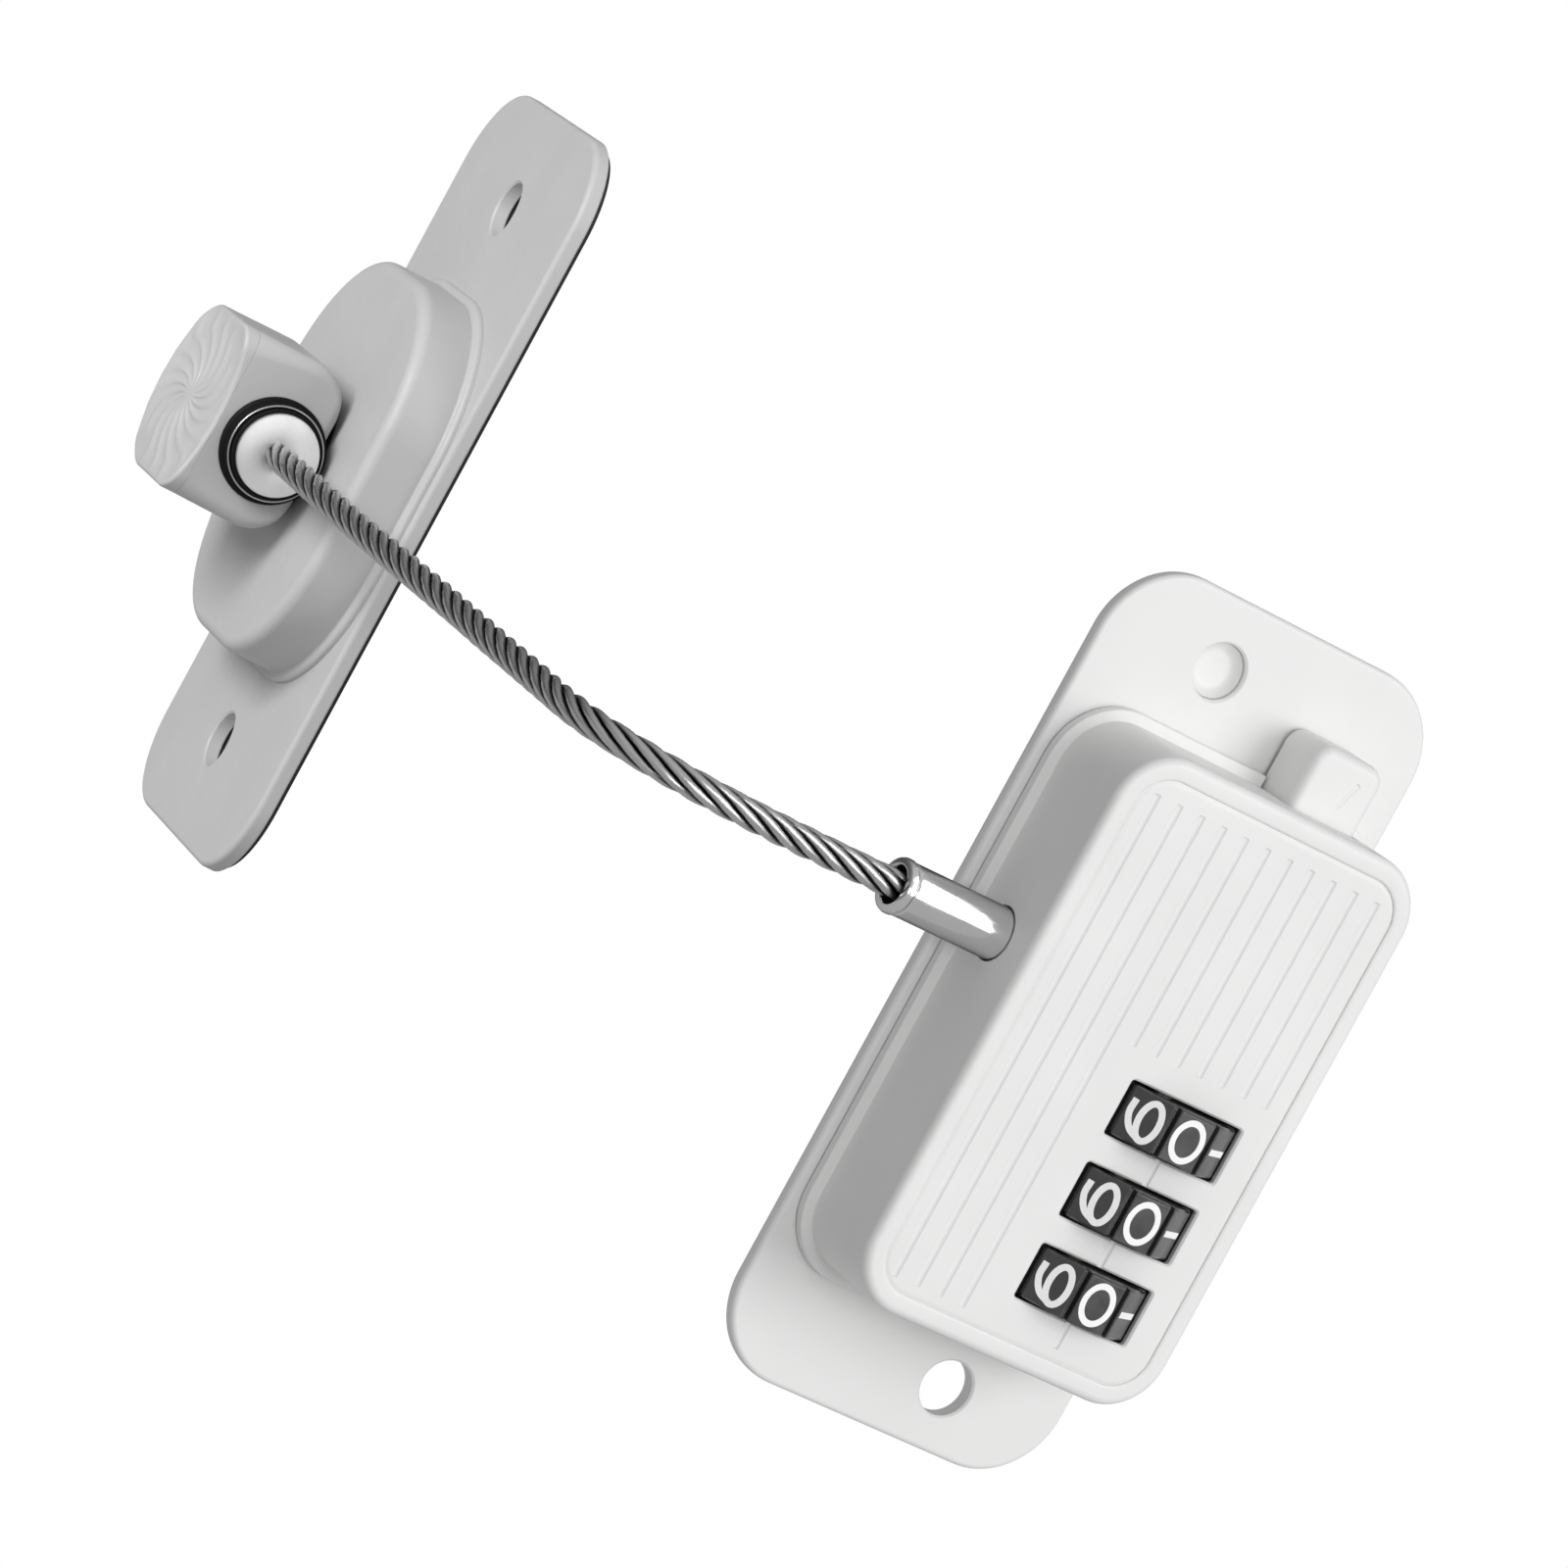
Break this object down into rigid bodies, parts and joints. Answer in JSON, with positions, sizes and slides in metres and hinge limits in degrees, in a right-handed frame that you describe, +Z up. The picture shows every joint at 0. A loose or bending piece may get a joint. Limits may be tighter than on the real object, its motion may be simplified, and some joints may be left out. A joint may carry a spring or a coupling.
{
  "type": "window restrictor cable",
  "caption": "Window restrictor: a code lock with turning dials and a release button, a steel cable that plugs into its side, and a swivelling screw-on bracket on the cable's far end.",
  "frame": {"origin": "centre of the lock's back face, which lies against the window frame", "axes": "+X to the right across the lock's front, away from the cable; +Y into the window frame; +Z up the lock"},
  "size_m": [0.0856, 0.1442, 0.0957],
  "materials": {
    "lock_paint": "satin white powder coat",
    "cap_plastic": "satin white",
    "steel": "plain steel",
    "cable_steel": "bright stranded wire rope",
    "chrome": "polished",
    "dial_plastic": "satin dark grey",
    "brass": "turned",
    "bracket_paint": "satin light grey powder coat",
    "ring_plastic": "dark",
    "pad_rubber": "matt dark grey"
  },
  "bodies": {
    "lock": {"lock_base_plate": "lock_paint", "lock_housing": "lock_paint", "lock_face_plate": "lock_paint", "screw_hole_cap": "cap_plastic", "plug_socket": "steel", "dial_spindle": "steel", "detent_spring": "steel", "housing_screw_1": "steel", "housing_screw_2": "steel", "housing_screw_3": "steel", "housing_screw_4": "steel"},
    "dial_1": {"dial_wheel_1": "dial_plastic", "code_sleeve_1": "brass"},
    "dial_2": {"dial_wheel_2": "dial_plastic", "code_sleeve_2": "brass"},
    "dial_3": {"dial_wheel_3": "dial_plastic", "code_sleeve_3": "brass"},
    "button": {"release_button": "lock_paint", "latch_bar": "steel", "button_spring": "steel"},
    "cable": {"cable_plug": "chrome", "steel_cable": "cable_steel", "cable_end_stop": "steel"},
    "knob": {"swivel_knob": "bracket_paint", "knob_end_cap": "bracket_paint", "socket_ring": "ring_plastic"},
    "bracket": {"bracket_body": "bracket_paint", "bracket_pad": "pad_rubber", "swivel_screw": "steel", "swivel_nut": "steel", "thrust_washer": "ring_plastic"}
  },
  "joints": [
    {"name": "dial_1_turn", "type": "hinge", "parent": "lock", "child": "dial_1", "pos_m": [0.00655, -0.0095, -0.0039], "axis": [0, 0, 1], "continuous": true},
    {"name": "dial_2_turn", "type": "hinge", "parent": "lock", "child": "dial_2", "pos_m": [0.00655, -0.0095, -0.0129], "axis": [0, 0, 1], "continuous": true},
    {"name": "dial_3_turn", "type": "hinge", "parent": "lock", "child": "dial_3", "pos_m": [0.00655, -0.0095, -0.0219], "axis": [0, 0, 1], "continuous": true},
    {"name": "button_press", "type": "slide", "parent": "lock", "child": "button", "axis": [0, 0, -1], "range_m": [0, 0.0025], "stiffness_N_per_m": 300, "springref_m": -0.002, "deforming": ["button_spring"]},
    {"name": "plug_release", "type": "slide", "parent": "lock", "child": "cable", "axis": [-1, 0, 0], "range_m": [0, 0.026]},
    {"name": "knob_turn", "type": "hinge", "parent": "cable", "child": "knob", "pos_m": [-0.05363, 0.09982, 0.0073], "axis": [-0.1908, -0.9816, 0], "continuous": true},
    {"name": "bracket_swivel", "type": "hinge", "parent": "knob", "child": "bracket", "pos_m": [-0.04221, 0.10615, 0.0081], "axis": [-0.9816, 0.1908, 0], "continuous": true}
  ]
}
